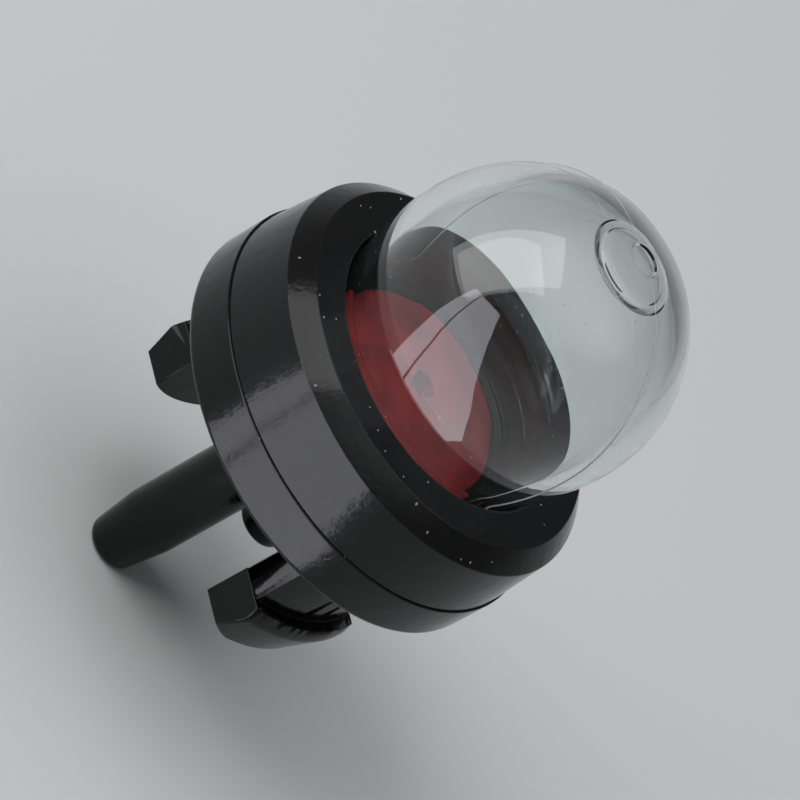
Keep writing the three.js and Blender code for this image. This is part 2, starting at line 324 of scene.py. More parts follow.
def bevel_edges(obj: bpy.types.Object, width: float, segments: int, angle: float = 30.0) -> None:
    """Rounds an object's sharp edges.

    Args:
        obj: the object.
        width: the bevel's width in millimetres.
        segments: facets across it.
        angle: least angle of an edge that counts as sharp, in degrees.
    """
    modifier = obj.modifiers.new("bevel", "BEVEL")
    modifier.width = width * MM
    modifier.segments = segments
    modifier.limit_method = "ANGLE"
    modifier.angle_limit = math.radians(angle)
    modifier.use_clamp_overlap = True
    apply_modifiers(obj)


def weigh_normals(obj: bpy.types.Object) -> None:
    """Keeps large faces flat to the eye beside their rounded edges."""
    modifier = obj.modifiers.new("weighted_normals", "WEIGHTED_NORMAL")
    modifier.weight = 90
    modifier.keep_sharp = True


def join(name: str, parts: Iterable[bpy.types.Object]) -> bpy.types.Object:
    """Puts several objects' meshes into one object.

    Args:
        name: the new object's name.
        parts: the objects, which are removed.

    Returns:
        The new object.
    """
    mesh = bmesh.new()
    for part in parts:
        mesh.from_mesh(part.data)
        bpy.data.objects.remove(part)
    return object_from(name, mesh)


def linear(hex_colour: str) -> tuple[float, float, float, float]:
    """Turns an sRGB hex colour to a linear colour with full alpha."""
    digits = hex_colour.lstrip("#")
    channels = []
    for place in (0, 2, 4):
        value = int(digits[place : place + 2], 16) / 255
        channels.append(value / 12.92 if value <= 0.04045 else ((value + 0.055) / 1.055) ** 2.4)
    return (channels[0], channels[1], channels[2], 1.0)


def add_node(
    tree: bpy.types.NodeTree, kind: str, settings: dict[str, object] | None = None, **inputs: object
) -> bpy.types.Node:
    """Adds a node with its settings and its inputs.

    Args:
        tree: the node tree.
        kind: the node's type.
        settings: the node's own properties.
        inputs: a value, an output socket or a node, which stands for its first output, for each
            input, named in lower case with underscores, or as in_0, in_1 by its place.

    Returns:
        The new node.
    """
    node = tree.nodes.new(kind)
    for key, value in (settings or {}).items():
        setattr(node, key, value)
    named = {socket.name.lower().replace(" ", "_"): socket for socket in reversed(node.inputs)}
    for key, value in inputs.items():
        socket = node.inputs[int(key[3:])] if key.startswith("in_") else named[key]
        if isinstance(value, bpy.types.Node):
            value = value.outputs[0]
        if isinstance(value, bpy.types.NodeSocket):
            tree.links.new(value, socket)
        else:
            socket.default_value = value
    return node


def new_material(name: str) -> tuple[bpy.types.Material, bpy.types.NodeTree]:
    """Makes an empty node material.

    Args:
        name: the material's name.

    Returns:
        The material and its node tree.
    """
    material = bpy.data.materials.new(name)
    material.use_nodes = True
    material.node_tree.nodes.clear()
    return material, material.node_tree


def millimetre_coordinates(
    tree: bpy.types.NodeTree, stretch: tuple[float, float, float] = (1.0, 1.0, 1.0)
) -> bpy.types.Node:
    """Object coordinates in millimetres, stretched along the axes."""
    place = add_node(tree, "ShaderNodeTexCoord").outputs["Object"]
    return add_node(tree, "ShaderNodeMapping", vector=place, scale=tuple(value / MM for value in stretch))


def layered(
    tree: bpy.types.NodeTree, base: str, **layers: tuple[str, bpy.types.Node]
) -> bpy.types.NodeSocket:
    """Lays colours over a base colour, each as strongly as its mask says.

    Args:
        tree: the node tree.
        base: the base's hex colour.
        layers: a hex colour and a mask for each layer, the lowest first.

    Returns:
        The colour's socket.
    """
    below = linear(base)
    for colour, mask in layers.values():
        mix = add_node(
            tree, "ShaderNodeMix", {"data_type": "RGBA"}, in_0=mask, in_6=below, in_7=linear(colour)
        )
        below = mix.outputs[2]
    return below


@dataclass(frozen=True)
class MouldedNylon:
    """Black nylon, injection moulded in a tool that was polished but not to a mirror.

    The pigment gives a nearly even black. The moulded skin mirrors a soft light in a dull patch
    whose edge is ragged, because the skin follows the flow of the melt and shrinks a little
    unevenly. The edges are painted paler, partly as handling wear and partly as a painted
    highlight along them, and there are a few specks of dust.
    """

    name: str
    colour: str = "#0b0b0c"
    # Paler colour on every edge: partly handling wear, partly a painted highlight along the edges.
    worn_colour: str = "#2e2e30"
    dust_colour: str = "#b4b2ad"
    roughness_low: float = 0.12
    roughness_high: float = 0.2
    # Nylon has an IOR of 1.53. The lower values stand for the skin's finest texture, which
    # scatters part of the mirror image and is far too fine to draw.
    ior: float = 1.4
    specular_level: float = 0.36
    # Real flow marks are about 0.5 mm apart, and are drawn coarser so that they show.
    flow_mark_mm: float = 0.9
    flow_mark_rise: float = 0.9
    flow_mark_depth_mm: float = 0.03
    grain_mm: float = 0.3
    grain_depth_mm: float = 0.02
    dust_cell_mm: float = 1.15
    # Real dust is under 0.1 mm across. The largest specks are drawn at 0.14 mm so that they show.
    dust_size_mm: float = 0.07
    dust_share: float = 0.45
    dust_strength: float = 0.7
    edge_mm: float = 0.09
    wear_and_highlight_strength: float = 0.6

    def build(self) -> bpy.types.Material:
        """Makes the node material."""
        material, tree = new_material(self.name)
        across = 1 / self.flow_mark_mm
        flow = add_node(
            tree,
            "ShaderNodeTexNoise",
            vector=millimetre_coordinates(tree, (across, across, self.flow_mark_rise)),
            scale=1.0,
            detail=3.0,
            roughness=0.6,
        )
        place = millimetre_coordinates(tree)
        grain = add_node(tree, "ShaderNodeTexNoise", vector=place, scale=1 / self.grain_mm, detail=3.0)
        # The paler edges are partly wear and partly a painted highlight, the same whatever the light.
        worn = (self.worn_colour, self.edge_wear_and_highlight_mask(tree, grain))
        dust = (self.dust_colour, self.dust_mask(tree))
        satin = add_node(
            tree,
            "ShaderNodeMapRange",
            in_0=flow,
            in_1=0.3,
            in_2=0.7,
            in_3=self.roughness_low,
            in_4=self.roughness_high,
        )
        rounded = add_node(tree, "ShaderNodeBevel", {"samples": 4}, radius=self.edge_mm * MM)
        depth = self.flow_mark_depth_mm * MM
        wavy = add_node(tree, "ShaderNodeBump", strength=0.8, distance=depth, height=flow, normal=rounded)
        depth = self.grain_depth_mm * MM
        bump = add_node(tree, "ShaderNodeBump", strength=0.12, distance=depth, height=grain, normal=wavy)
        shader = add_node(
            tree,
            "ShaderNodeBsdfPrincipled",
            base_color=layered(tree, self.colour, worn=worn, dust=dust),
            roughness=satin,
            ior=self.ior,
            specular_ior_level=self.specular_level,
            normal=bump,
        )
        add_node(tree, "ShaderNodeOutputMaterial", surface=shader)
        return material

    def edge_wear_and_highlight_mask(self, tree: bpy.types.NodeTree, grain: bpy.types.Node) -> bpy.types.Node:
        """Where the edges are painted pale, partly as handling wear and partly as a painted highlight,
        broken up by the grain.
        """
        rounded = add_node(tree, "ShaderNodeBevel", {"samples": 4}, radius=2 * self.edge_mm * MM)
        flat = add_node(tree, "ShaderNodeNewGeometry").outputs["Normal"]
        alike = add_node(tree, "ShaderNodeVectorMath", {"operation": "DOT_PRODUCT"}, in_0=rounded, in_1=flat)
        # Nearness to an edge: where the paler wear and the painted highlight go.
        near_edge = add_node(tree, "ShaderNodeMapRange", in_0=alike.outputs["Value"], in_1=0.985, in_2=0.9)
        broken = add_node(
            tree, "ShaderNodeMapRange", in_0=grain, in_1=0.35, in_2=0.6, in_4=self.wear_and_highlight_strength
        )
        return add_node(tree, "ShaderNodeMath", {"operation": "MULTIPLY"}, in_0=near_edge, in_1=broken)

    def dust_mask(self, tree: bpy.types.NodeTree) -> bpy.types.Node:
        """Sparse specks of dust of uneven size, on faces that look up the bulb's axis."""
        cells = add_node(
            tree,
            "ShaderNodeTexVoronoi",
            {"voronoi_dimensions": "2D"},
            vector=millimetre_coordinates(tree),
            scale=1 / self.dust_cell_mm,
        )
        pick = add_node(tree, "ShaderNodeSeparateColor", color=cells.outputs["Color"])
        chosen = add_node(tree, "ShaderNodeMapRange", in_0=pick, in_1=1 - self.dust_share, in_2=1.0)
        largest = self.dust_size_mm / self.dust_cell_mm
        size = add_node(tree, "ShaderNodeMath", {"operation": "MULTIPLY"}, in_0=chosen, in_1=largest)
        speck = add_node(tree, "ShaderNodeMath", {"operation": "LESS_THAN"}, in_0=cells, in_1=size)
        normal = add_node(tree, "ShaderNodeNewGeometry").outputs["Normal"]
        facing = add_node(tree, "ShaderNodeSeparateXYZ", vector=normal).outputs["Z"]
        upward = add_node(
            tree, "ShaderNodeMapRange", in_0=facing, in_1=0.4, in_2=0.8, in_4=self.dust_strength
        )
        return add_node(tree, "ShaderNodeMath", {"operation": "MULTIPLY"}, in_0=speck, in_1=upward)


@dataclass(frozen=True)
class ClearPolyurethane:
    """Clear thermoplastic polyurethane, injection moulded in polished tools.

    It is clear with a faint blue-green cast and a trace of haze, because the polymer isn't
    wholly even. The polished tools leave sharp reflections, a little wavy from shrinkage, and
    the soft surface gathers fine dust and rub marks.
    """

    name: str
    tint: str = "#f2f7f6"
    haze_colour: str = "#e4e9e9"
    haze_share: float = 0.004
    roughness: float = 0.02
    ior: float = 1.49
    passed_light: tuple[float, float, float, float] = (0.93, 0.95, 0.95, 1.0)
    wave_mm: float = 2.2
    # Real dust on the bulb is under 0.05 mm across, and is drawn at up to 0.08 mm so that it shows.
    dust_cell_mm: float = 0.6
    dust_size_mm: float = 0.04
    dust_patch_mm: float = 5.0
    dust_share: float = 0.35

    def build(self) -> bpy.types.Material:
        """Makes the node material."""
        material, tree = new_material(self.name)
        place = millimetre_coordinates(tree)
        wave = add_node(tree, "ShaderNodeTexNoise", vector=place, scale=1 / self.wave_mm, detail=2.0)
        bump = add_node(tree, "ShaderNodeBump", strength=0.05, distance=0.05 * MM, height=wave)
        clear = add_node(
            tree,
            "ShaderNodeBsdfPrincipled",
            base_color=linear(self.tint),
            roughness=self.roughness,
            ior=self.ior,
            transmission_weight=1.0,
            normal=bump,
        )
        passed = add_node(tree, "ShaderNodeBsdfTranslucent", color=linear(self.haze_colour))
        scattered = add_node(tree, "ShaderNodeBsdfDiffuse", color=linear(self.haze_colour))
        haze = add_node(tree, "ShaderNodeMixShader", in_0=0.5, in_1=passed, in_2=scattered)
        share = add_node(
            tree, "ShaderNodeMath", {"operation": "MAXIMUM"}, in_0=self.dust(tree), in_1=self.haze_share
        )
        skin = add_node(tree, "ShaderNodeMixShader", in_0=share, in_1=clear, in_2=haze)
        # Shadow and diffuse rays pass straight through, so that light gets in without noise.
        rays = add_node(tree, "ShaderNodeLightPath").outputs
        soft_rays = add_node(
            tree,
            "ShaderNodeMath",
            {"operation": "MAXIMUM"},
            in_0=rays["Is Shadow Ray"],
            in_1=rays["Is Diffuse Ray"],
        )
        through = add_node(tree, "ShaderNodeBsdfTransparent", color=self.passed_light)
        surface = add_node(tree, "ShaderNodeMixShader", in_0=soft_rays, in_1=skin, in_2=through)
        add_node(tree, "ShaderNodeOutputMaterial", surface=surface)
        return material

    def dust(self, tree: bpy.types.NodeTree) -> bpy.types.Node:
        """Share of dust that hides the clear plastic: fine specks, gathered in patches."""
        place = millimetre_coordinates(tree)
        cells = add_node(tree, "ShaderNodeTexVoronoi", vector=place, scale=1 / self.dust_cell_mm)
        patch = add_node(tree, "ShaderNodeTexNoise", vector=place, scale=1 / self.dust_patch_mm)
        size = self.dust_size_mm / self.dust_cell_mm
        speck = add_node(tree, "ShaderNodeMapRange", in_0=cells, in_1=1.5 * size, in_2=0.5 * size)
        where = add_node(
            tree, "ShaderNodeMapRange", in_0=patch, in_1=0.45, in_2=0.6, in_4=self.dust_share
        )
        return add_node(tree, "ShaderNodeMath", {"operation": "MULTIPLY"}, in_0=speck, in_1=where)


@dataclass(frozen=True)
class FuelRubber:
    """Red fluoro rubber, compression moulded and cured.

    Iron oxide and a red pigment give an even deep red. The cured skin is smooth but not
    polished, so it holds a wide dull sheen, and its slight tack keeps stray dust.
    """

    name: str
    colour: str = "#8c2025"
    deep_colour: str = "#6c171b"
    dust_colour: str = "#c9a8a4"
    roughness: float = 0.36
    ior: float = 1.5
    mottle_mm: float = 1.6
    dust_cell_mm: float = 1.5
    dust_edge: tuple[float, float] = (0.055, 0.03)

    def build(self) -> bpy.types.Material:
        """Makes the node material."""
        material, tree = new_material(self.name)
        place = millimetre_coordinates(tree)
        mottle = add_node(tree, "ShaderNodeTexNoise", vector=place, scale=1 / self.mottle_mm, detail=3.0)
        cells = add_node(tree, "ShaderNodeTexVoronoi", vector=place, scale=1 / self.dust_cell_mm)
        outer, inner = self.dust_edge
        speck = add_node(tree, "ShaderNodeMapRange", in_0=cells, in_1=outer, in_2=inner)
        depth = add_node(tree, "ShaderNodeMapRange", in_0=mottle, in_1=0.35, in_2=0.65)
        bright, dust = (self.colour, depth), (self.dust_colour, speck)
        bump = add_node(tree, "ShaderNodeBump", strength=0.1, distance=0.03 * MM, height=mottle)
        shader = add_node(
            tree,
            "ShaderNodeBsdfPrincipled",
            base_color=layered(tree, self.deep_colour, bright=bright, dust=dust),
            roughness=self.roughness,
            ior=self.ior,
            normal=bump,
        )
        add_node(tree, "ShaderNodeOutputMaterial", surface=shader)
        return material


@dataclass(frozen=True)
class PaintedFloor:
    """Board with rolled-on matt paint: an even pale grey that holds a soft shadow and mirrors nothing."""

    name: str
    colour: str = "#d6d8d8"

    def build(self) -> bpy.types.Material:
        """Makes the node material."""
        material, tree = new_material(self.name)
        shader = add_node(tree, "ShaderNodeBsdfDiffuse", color=linear(self.colour))
        add_node(tree, "ShaderNodeOutputMaterial", surface=shader)
        return material


def dress(obj: bpy.types.Object, material: bpy.types.Material, slot: str, *nodes: str) -> None:
    """Gives a piece its material and body, and hides the frame's solids that it stands for.

    Args:
        obj: the piece.
        material: its material.
        slot: not used.
        nodes: the frame's nodes that it replaces.
    """
    obj.data.materials.append(material)
    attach(obj, BODY)
    if nodes:
        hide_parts(*nodes)
    LOG.info("%s: %d faces", obj.name, len(obj.data.polygons))


def top_and_radius(node: str) -> tuple[float, float, float]:
    """A node's lowest and highest z and its outer radius, in millimetres."""
    low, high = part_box(node)
    return low[2] / MM, high[2] / MM, high[0] / MM


@dataclass
class SnapHook:
    """One snap hook: flat-backed leg, catch face, land, lead-in and rounded nose."""

    direction: int
    leg_top: float
    leg_radius: float = 8.1
    leg_thickness: float = 2.43
    half_width: float = 3.52
    side_step: float = 0.1
    reach: float = 0.75
    catch_height: float = -5.15
    catch_inset: float = 0.2
    tooth_rise: float = 0.85
    lead_in_height: float = 1.95
    lead_in_slope: float = 0.55
    nose_height: float = 1.05
    nose_width: float = 0.7
    nose_crown: float = 1.1
    edge_round: float = 0.13
    block_depth: float = 6.0

    @property
    def nose_bottom(self) -> float:
        """Lowest height of the hook."""
        return self.catch_height - self.tooth_rise - self.lead_in_height - self.nose_height

    def section(self) -> list[tuple[float, float]]:
        """The hook's revolved section, from the axis outwards."""
        tooth = self.leg_radius + self.reach
        lead_in_bottom = self.nose_bottom + self.nose_height
        lead_in_radius = tooth - self.lead_in_slope
        return soften(
            [
                Corner(0.0, self.nose_bottom),
                Corner(lead_in_radius - self.nose_width, self.nose_bottom),
                Corner(lead_in_radius - self.nose_width / 4, self.nose_bottom + self.nose_height / 3, 0.5),
                Corner(lead_in_radius, lead_in_bottom, 0.9),
                Corner(tooth, self.catch_height - self.tooth_rise, 0.9),
                Corner(tooth - self.catch_inset, self.catch_height),
                Corner(self.leg_radius, self.catch_height),
                Corner(self.leg_radius, self.leg_top),
                Corner(0.0, self.leg_top),
            ]
        )

    def tongue(self, name: str, half_width: float, top: float) -> bpy.types.Object:
        """The block that the section is cut with, from the flat back outwards.

        Args:
            name: the block's name.
            half_width: half its width in millimetres.
            top: its upper height in millimetres.

        Returns:
            The block.
        """
        crown_radius = (half_width**2 + self.nose_crown**2) / (2 * self.nose_crown)
        spread = math.degrees(math.asin(half_width / crown_radius))
        centre = (0.0, self.nose_bottom + crown_radius)
        crown = arc(centre, crown_radius, -90 - spread, -90 + spread, 16)
        outline = [(-half_width, top)] + [(c.radius, c.height) for c in crown] + [(half_width, top)]
        back = self.direction * (self.leg_radius - self.leg_thickness)
        axes = Matrix(((0, 0, self.direction, back), (1, 0, 0, 0), (0, 1, 0, 0), (0, 0, 0, 1)))
        return extrude(name, outline, axes, self.block_depth)

    def build(self) -> bpy.types.Object:
        """Makes the hook's mesh."""
        side = "plus" if self.direction > 0 else "minus"
        leg = revolve(f"hook_leg_{side}", self.section(), Facets.MAIN)
        tooth = revolve(f"hook_tooth_{side}", self.section(), Facets.MAIN)
        cut(leg, self.tongue("leg_block", self.half_width, self.leg_top + 1.0), "INTERSECT")
        tooth_block = self.tongue("tooth_block", self.half_width + self.side_step, self.catch_height)
        cut(tooth, tooth_block, "INTERSECT")
        cut(leg, tooth, "UNION")
        bevel_edges(leg, self.edge_round, 3)
        return leg


@dataclass
class BaseHousing:
    """The base moulding: collar, bulb ledge, valve plate, boss, two nipples and two snap hooks."""

    collar_height: float = 2.75
    edge_round: float = 0.35
    seam_round: float = 0.07
    spigot_radius: float = 9.5
    seat_inner_radius: float = 9.15
    ledge_inner_radius: float = 6.5
    ledge_step: float = 0.35
    moat_radius: float = 6.2
    plate_top: float = 4.2
    plate_thickness: float = 1.6
    chamber_radius: float = 2.6
    chamber_depth: float = 6.2
    boss_floor: float = 1.2
    boss_wall: float = 1.1
    inlet_boss_wall: float = 0.8
    nipple_radius: float = 1.775
    nipple_tip_radius: float = 1.45
    nipple_taper: float = 3.0
    nipple_bore: float = 0.65
    nipple_flare: float = 0.4
    outlet_offset: float = -1.9
    inlet_offset: float = 4.6
    inlet_tip: float = -10.05
    outlet_tip: float = field(init=False)
    ledge_top: float = field(init=False)
    collar_radius: float = field(init=False)

    def __post_init__(self) -> None:
        """Takes the outer sizes from the frame."""
        self.outlet_tip, self.ledge_top, self.collar_radius = top_and_radius("base_housing")

    @property
    def plate_underside(self) -> float:
        """Height of the valve plate's underside."""
        return self.plate_top - self.plate_thickness

    @property
    def chamber_bottom(self) -> float:
        """Height of the outlet chamber's floor."""
        return self.plate_top - self.chamber_depth

    @property
    def boss_bottom(self) -> float:
        """Height of the boss's lower face."""
        return self.chamber_bottom - self.boss_floor

    def body(self) -> bpy.types.Object:
        """Collar, ledge and valve plate, with the outlet chamber open to the top."""
        section = soften(
            [
                Corner(self.chamber_radius, self.plate_underside),
                Corner(self.seat_inner_radius, self.plate_underside, 0.2),
                Corner(self.seat_inner_radius, 0.0, 0.08),
                Corner(self.collar_radius, 0.0, self.edge_round),
                Corner(self.collar_radius, self.collar_height, self.seam_round),
                Corner(self.spigot_radius, self.collar_height),
                Corner(self.spigot_radius, self.ledge_top, 0.1),
                Corner(self.ledge_inner_radius, self.ledge_top, 0.06),
                Corner(self.ledge_inner_radius, self.ledge_top - self.ledge_step, 0.05),
                Corner(self.moat_radius, self.ledge_top - self.ledge_step, 0.06),
                Corner(self.moat_radius, self.plate_top, 0.05),
                Corner(self.chamber_radius, self.plate_top, 0.1),
            ]
        )
        return revolve("base_body", section, Facets.MAIN)

    def boss(self) -> bpy.types.Object:
        """Oblong boss round the outlet chamber and the inlet's root."""
        wide = self.chamber_radius + self.boss_wall
        narrow = self.nipple_radius + self.inlet_boss_wall
        tilt = math.degrees(math.asin((wide - narrow) / self.inlet_offset))
        lower = arc((0.0, 0.0), wide, 180 - tilt, 360 + tilt, 48)
        upper = arc((0.0, self.inlet_offset), narrow, tilt, 180 - tilt, 32)
        outline = [(corner.radius, corner.height) for corner in lower + upper]
        axes = Matrix.Translation((0, 0, self.boss_bottom))
        boss = extrude("boss", outline, axes, self.plate_underside - self.boss_bottom + 0.1)
        chamber = soften(
            [
                Corner(0.0, self.chamber_bottom),
                Corner(self.chamber_radius, self.chamber_bottom),
                Corner(self.chamber_radius, self.plate_top),
                Corner(0.0, self.plate_top),
            ]
        )
        cut(boss, revolve("chamber", chamber, Facets.SMALL), "DIFFERENCE")
        bevel_edges(boss, 0.2, 3)
        return boss

    def nipple(self, name: str, offset: float, tip: float) -> bpy.types.Object:
        """One hose nipple with its bore.

        Args:
            name: the nipple's name.
            offset: place of its axis along Y, in millimetres.
            tip: height of its tip, in millimetres.

        Returns:
            The nipple.
        """
        root = self.boss_bottom + 0.5
        section = soften(
            [
                Corner(self.nipple_bore, tip, 0.12),
                Corner(self.nipple_tip_radius, tip, 0.45),
                Corner(self.nipple_radius, tip + self.nipple_taper, 4.0),
                Corner(self.nipple_radius, self.boss_bottom - self.nipple_flare, 0.4),
                Corner(self.nipple_radius + self.nipple_flare, self.boss_bottom),
                Corner(self.nipple_radius + self.nipple_flare, root),
                Corner(self.nipple_bore, root),
            ],
            arc_steps=6,
        )
        return revolve(name, section, Facets.SMALL, centre=(0.0, offset))

    def build(self) -> bpy.types.Object:
        """Makes the whole moulding as one piece."""
        leg_top = self.plate_underside + self.plate_thickness / 2
        parts = [
            self.body(),
            self.boss(),
            self.nipple("outlet_nipple", self.outlet_offset, self.outlet_tip),
            self.nipple("inlet_nipple", self.inlet_offset, self.inlet_tip),
            SnapHook(1, leg_top).build(),
            SnapHook(-1, leg_top).build(),
        ]
        moulding = join("base_moulding", parts)
        weigh_normals(moulding)
        dress(moulding, MouldedNylon("base_nylon").build(), "base_plastic", "base_housing")
        return moulding


@dataclass
class RetainingCap:
    """Ring over the bulb's flange: drafted wall, chamfer, flat top and a sharp mouth."""

    draft: float = 0.25
    foot_spread: float = 0.05
    chamfer: float = 1.0
    bore_radius: float = 9.65
    mouth_radius: float = 7.55
    lip_thickness: float = 1.1
    foot: float = field(init=False)
    top: float = field(init=False)
    foot_radius: float = field(init=False)

    def __post_init__(self) -> None:
        """Takes the outer sizes from the frame."""
        self.foot, self.top, self.foot_radius = top_and_radius("retaining_cap")

    def build(self) -> bpy.types.Object:
        """Makes and dresses the ring."""
        wall_radius = self.foot_radius - self.draft
        section = soften(
            [
                Corner(self.bore_radius, self.foot),
                Corner(self.foot_radius + self.foot_spread, self.foot, 0.05),
                Corner(wall_radius, self.top - self.chamfer, 0.1),
                Corner(wall_radius - self.chamfer, self.top, 0.1),
                Corner(self.mouth_radius, self.top, 0.15),
                Corner(self.mouth_radius, self.top - self.lip_thickness, 0.05),
                Corner(self.bore_radius, self.top - self.lip_thickness),
            ]
        )
        cap = revolve("cap_ring", section, Facets.MAIN)
        weigh_normals(cap)
        dress(cap, MouldedNylon("cap_nylon", colour="#151516").build(), "cap_plastic", "retaining_cap")
        return cap


@dataclass
class SqueezeBulb:
    """Clear bulb: flange, neck, bulging side and dome, with its mould marks."""

    dome_radius: float = 8.14
    wall: float = 0.95
    neck_radius: float = 7.4
    side_height: float = 4.5
    lip_underside: float = 6.2
    cap_top: float = 7.3
    outer_sink: float = 0.3
    outer_sink_reach: float = 4.4
    inner_sink: float = 0.72
    inner_sink_reach: float = 6.0
    mark_radius: float = 2.1
    mark_width: float = 0.4
    mark_height: float = 0.09
    gate_radius: float = 0.85
    gate_depth: float = 0.12
    gate_rim: float = 0.04
    gate_rim_width: float = 0.12
    ridge_height: float = 0.05
    ridge_half_width: float = 0.06
    flange_bottom: float = field(init=False)
    flange_radius: float = field(init=False)

    def __post_init__(self) -> None:
        """Takes the flange's sizes from the frame."""
        self.flange_bottom, _, self.flange_radius = top_and_radius("bulb")

    @property
    def centre_height(self) -> float:
        """Height of the widest circle."""
        return self.cap_top + self.side_height

    def side(self, neck: float, wide: float, steps: int) -> list[Corner]:
        """The bulging side from the neck up to just below the widest circle."""
        corners = []
        for step in range(steps):
            below = 1 - step / steps
            height = self.centre_height - self.side_height * below
            corners.append(Corner(wide - (wide - neck) * below**2, height))
        return corners

    def dome(self, radius: float, sink: float, reach: float, narrow: float, steps: int) -> list[Corner]:
        """A dome from its widest circle up, sunk a little round the axis as a moulded top is.

        Args:
            radius: radius of the widest circle in millimetres.
            sink: how far the top sinks below a true sphere, in millimetres.
            reach: radius within which it sinks, in millimetres.
            narrow: radius at which the list ends, in millimetres.
            steps: steps along the dome.

        Returns:
            The corners, both ends included.
        """
        corners = []
        end = math.degrees(math.acos(narrow / radius))
        for corner in arc((0.0, self.centre_height), radius, 0, end, steps):
            share = max(0.0, 1 - (corner.radius / reach) ** 2)
            corners.append(Corner(corner.radius, corner.height - sink * share**2))
        return corners

    def outside(self) -> list[Corner]:
        """The outer skin from the flange to the sunk gate mark."""
        rim_radius = self.gate_radius + self.gate_rim_width
        dome = self.dome(self.dome_radius, self.outer_sink, self.outer_sink_reach, rim_radius, 44)
        base = dome[-1].height
        return [
            Corner(self.neck_radius - self.wall, self.flange_bottom, 0.1),
            Corner(self.flange_radius, self.flange_bottom, 0.15),
            Corner(self.flange_radius, self.lip_underside, 0.15),
            Corner(self.neck_radius, self.lip_underside, 0.1),
            *self.side(self.neck_radius, self.dome_radius, 16),
            *dome[:-1],
            Corner(rim_radius, base, 0.05),
            Corner(self.gate_radius + 0.04, base + self.gate_rim, 0.05),
            Corner(self.gate_radius - 0.06, base - self.gate_depth, 0.06),
            Corner(0.0, base - self.gate_depth + 0.02),
        ]

    def inside(self) -> list[Corner]:
        """The inner skin from the axis, past the fine ring that the core leaves, down to the neck."""
        radius = self.dome_radius - self.wall
        dome = self.dome(radius, self.inner_sink, self.inner_sink_reach, 0.3, 40)
        outer_edge = self.mark_radius + self.mark_width / 2
        inner_edge = self.mark_radius - self.mark_width / 2
        wide = [corner for corner in dome if corner.radius > outer_edge + 0.15]
        narrow = [corner for corner in dome if corner.radius < inner_edge - 0.15]
        share = (self.mark_radius - narrow[0].radius) / (wide[-1].radius - narrow[0].radius)
        level = narrow[0].height + share * (wide[-1].height - narrow[0].height)
        ring = [
            Corner(outer_edge + 0.05, level - 0.02, 0.06),
            Corner(outer_edge - 0.05, level - self.mark_height, 0.12),
            Corner(inner_edge + 0.05, level - self.mark_height, 0.12),
            Corner(inner_edge - 0.05, level + 0.02, 0.06),
        ]
        return [
            Corner(0.0, narrow[-1].height + 0.003),
            *reversed(narrow),
            *reversed(ring),
            *reversed(wide),
            *reversed(self.side(self.neck_radius - self.wall, radius, 16)),
        ]

    def build(self) -> bpy.types.Object:
        """Makes and dresses the bulb."""
        outside = self.outside()
        section = soften(outside + self.inside())
        ridge = Ridge(self.ridge_height, self.ridge_half_width, self.dome_radius, len(soften(outside)) - 1)
        bulb = revolve("clear_bulb", section, Facets.MAIN, ridge=ridge)
        dress(bulb, ClearPolyurethane("clear_polyurethane").build(), "clear_bulb", "bulb")
        seam = ClearPolyurethane("frosted_parting_line", haze_share=0.7, roughness=0.3)
        bulb.data.materials.append(seam.build())
        return bulb


@dataclass
class CombinationValve:
    """Red rubber valve: crowned disc with a hole, barrel and closed lips."""

    edge_thickness: float = 0.35
    hole_radius: float = 0.75
    barrel_radius: float = 2.45
    barrel_length: float = 2.0
    lip_half_thickness: float = 0.5
    lips_bottom: float = field(init=False)
    crown_top: float = 5.6
    seat: float = 4.2
    disc_root: float = 1.2
    lips_root: float = 1.0
    prism_half_depth: float = 4.0
    disc_radius: float = field(init=False)

    def __post_init__(self) -> None:
        """Takes the outer sizes from the frame."""
        self.lips_bottom, _, self.disc_radius = top_and_radius("duckbill_valve")

    def disc(self) -> bpy.types.Object:
        """The crowned disc with its hole."""
        edge_top = self.seat + self.edge_thickness
        crown = []
        steps = 20
        for step in range(steps + 1):
            radius = self.disc_radius + (self.hole_radius - self.disc_radius) * step / steps
            share = radius / self.disc_radius
            crown.append(Corner(radius, edge_top + (self.crown_top - edge_top) * (1 - share**2)))
        section = soften(
            [
                Corner(self.hole_radius, self.seat - self.disc_root),
                Corner(self.barrel_radius, self.seat - self.disc_root),
                Corner(self.barrel_radius, self.seat, 0.1),
                Corner(self.disc_radius, self.seat, 0.08),
                Corner(crown[0].radius, crown[0].height, 0.1),
                *crown[1:-1],
                Corner(crown[-1].radius, crown[-1].height, 0.12),
            ]
        )
        return revolve("valve_disc", section, Facets.MAIN)

    def lips(self) -> bpy.types.Object:
        """The barrel that narrows to the closed lips."""
        lip_top = self.seat - self.barrel_length
        barrel = soften(
            [
                Corner(0.0, self.lips_bottom),
                Corner(self.barrel_radius, self.lips_bottom),
                Corner(self.barrel_radius, self.seat - self.lips_root),
                Corner(0.0, self.seat - self.lips_root),
            ]
        )
        outline = [
            (-self.lip_half_thickness, self.lips_bottom - 0.01),
            (self.lip_half_thickness, self.lips_bottom - 0.01),
            (self.barrel_radius, lip_top),
            (self.barrel_radius, self.seat),
            (-self.barrel_radius, self.seat),
            (-self.barrel_radius, lip_top),
        ]
        lips = revolve("valve_lips", barrel, Facets.SMALL)
        half = self.prism_half_depth
        axes = Matrix(((1, 0, 0, 0), (0, 0, 1, -half), (0, 1, 0, 0), (0, 0, 0, 1)))
        cut(lips, extrude("lip_prism", outline, axes, 2 * half), "INTERSECT")
        return lips

    def build(self) -> bpy.types.Object:
        """Makes and dresses the valve."""
        valve = join("combination_valve", [self.disc(), self.lips()])
        weigh_normals(valve)
        dress(valve, FuelRubber("red_fuel_rubber").build(), "valve_rubber", "duckbill_valve")
        return valve


